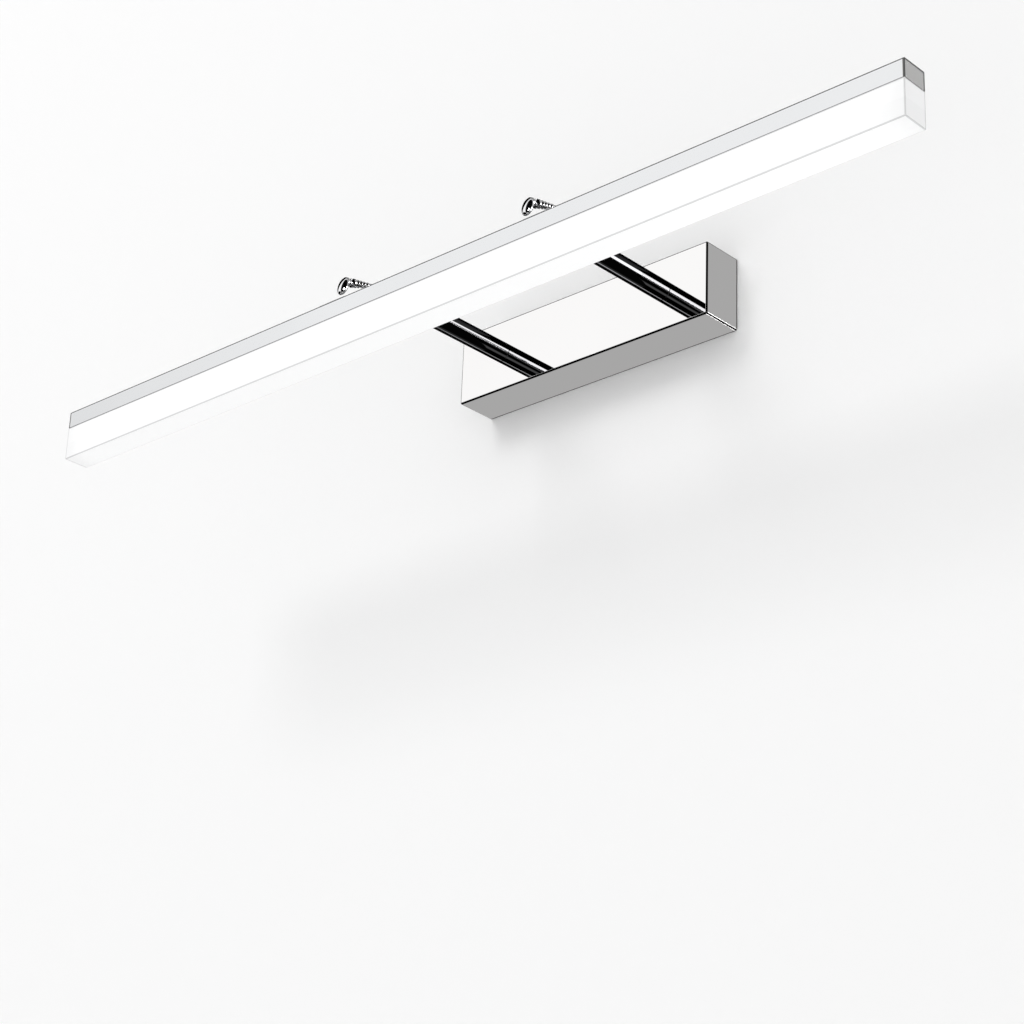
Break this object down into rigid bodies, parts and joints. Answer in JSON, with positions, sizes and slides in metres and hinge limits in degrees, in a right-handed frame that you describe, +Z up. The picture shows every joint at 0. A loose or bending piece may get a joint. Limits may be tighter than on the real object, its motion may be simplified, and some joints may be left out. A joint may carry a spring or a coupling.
{
  "type": "vanity light bar",
  "caption": "Wall-mounted vanity light bar: a long opal bar under a bright metal channel, carried by two round arms on a polished box base and tilted on a pinch-clamp hinge.",
  "frame": {"origin": "centre of the base on the wall surface, between the two wall screw holes", "axes": "+X along the wall to the right as seen from the room, +Y into the wall, +Z up"},
  "size_m": [0.6, 0.1476, 0.0657],
  "materials": {
    "polished_steel": "mirror polished stainless steel",
    "arm_chrome": "dark mirror plating",
    "screw_chrome": "bright plating",
    "bracket_steel": "satin steel",
    "zinc_steel": "zinc plated",
    "brass": "plain",
    "channel_chrome": "polished and lacquered extrusion",
    "cap_grey": "satin grey",
    "acrylic": "opal acrylic, lit from inside",
    "led_lens": "phosphor over a white package",
    "board_white": "white solder mask on aluminium",
    "driver_plastic": "moulded white",
    "circuit_board": "glass epoxy laminate",
    "component_black": "moulded black",
    "terminal_plastic": "moulded white",
    "rubber": "matte",
    "lead_sheath": "silicone",
    "mains_sheath": "soft vinyl"
  },
  "bodies": {
    "base": {"base_cover": "polished_steel", "wall_bracket": "zinc_steel", "cover_screws": "zinc_steel", "cover_nuts": "zinc_steel", "cable_grommet": "rubber", "earth_screw": "brass", "driver_case": "driver_plastic", "driver_lid": "driver_plastic", "driver_board": "circuit_board", "driver_transformer": "component_black", "driver_capacitors": "component_black", "driver_screws": "zinc_steel", "terminal_block": "terminal_plastic", "terminal_screws": "brass", "mains_leads": "mains_sheath", "arm_left": "arm_chrome", "arm_right": "arm_chrome", "arm_washers": "zinc_steel", "arm_nuts": "zinc_steel", "arm_tip_left": "arm_chrome", "arm_tip_right": "arm_chrome", "pivot_barrel_left": "bracket_steel", "pivot_barrel_right": "bracket_steel", "pivot_set_screws": "zinc_steel", "supply_lead": "lead_sheath"},
    "light_bar": {"channel": "channel_chrome", "channel_cap_left": "cap_grey", "channel_cap_right": "cap_grey", "led_board": "board_white", "leds": "led_lens", "board_screws": "zinc_steel", "diffuser": "acrylic", "diffuser_end_left": "acrylic", "diffuser_end_right": "acrylic", "clamp_bracket_left": "bracket_steel", "clamp_bracket_right": "bracket_steel", "bracket_screws": "zinc_steel", "bar_lead": "lead_sheath", "lead_grommet": "rubber"},
    "washer_left": {"clamp_washer_left": "zinc_steel"},
    "washer_right": {"clamp_washer_right": "zinc_steel"},
    "screw_left": {"thumb_screw_left": "screw_chrome"},
    "screw_right": {"thumb_screw_right": "screw_chrome"}
  },
  "joints": [
    {"name": "bar_tilt", "type": "hinge", "parent": "base", "child": "light_bar", "pos_m": [0, -0.1112, 0.00206], "axis": [1, 0, 0], "range_deg": [-90, 90]},
    {"name": "screw_left_travel", "type": "slide", "parent": "light_bar", "child": "washer_left", "axis": [0, -0.9613, -0.2756], "range_m": [0, 0.00135]},
    {"name": "screw_left_turn", "type": "hinge", "parent": "washer_left", "child": "screw_left", "pos_m": [-0.068, -0.11338, 0.00965], "axis": [0, -0.9613, -0.2756], "range_deg": [0, 1140]},
    {"name": "screw_right_travel", "type": "slide", "parent": "light_bar", "child": "washer_right", "axis": [0, -0.9613, -0.2756], "range_m": [0, 0.00135]},
    {"name": "screw_right_turn", "type": "hinge", "parent": "washer_right", "child": "screw_right", "pos_m": [0.068, -0.11338, 0.00965], "axis": [0, -0.9613, -0.2756], "range_deg": [0, 1140]}
  ],
  "couplings": [
    {"joint": "screw_left_turn", "follows": "screw_left_travel", "rad_per_m": 13963},
    {"joint": "screw_right_turn", "follows": "screw_right_travel", "rad_per_m": 13963}
  ]
}
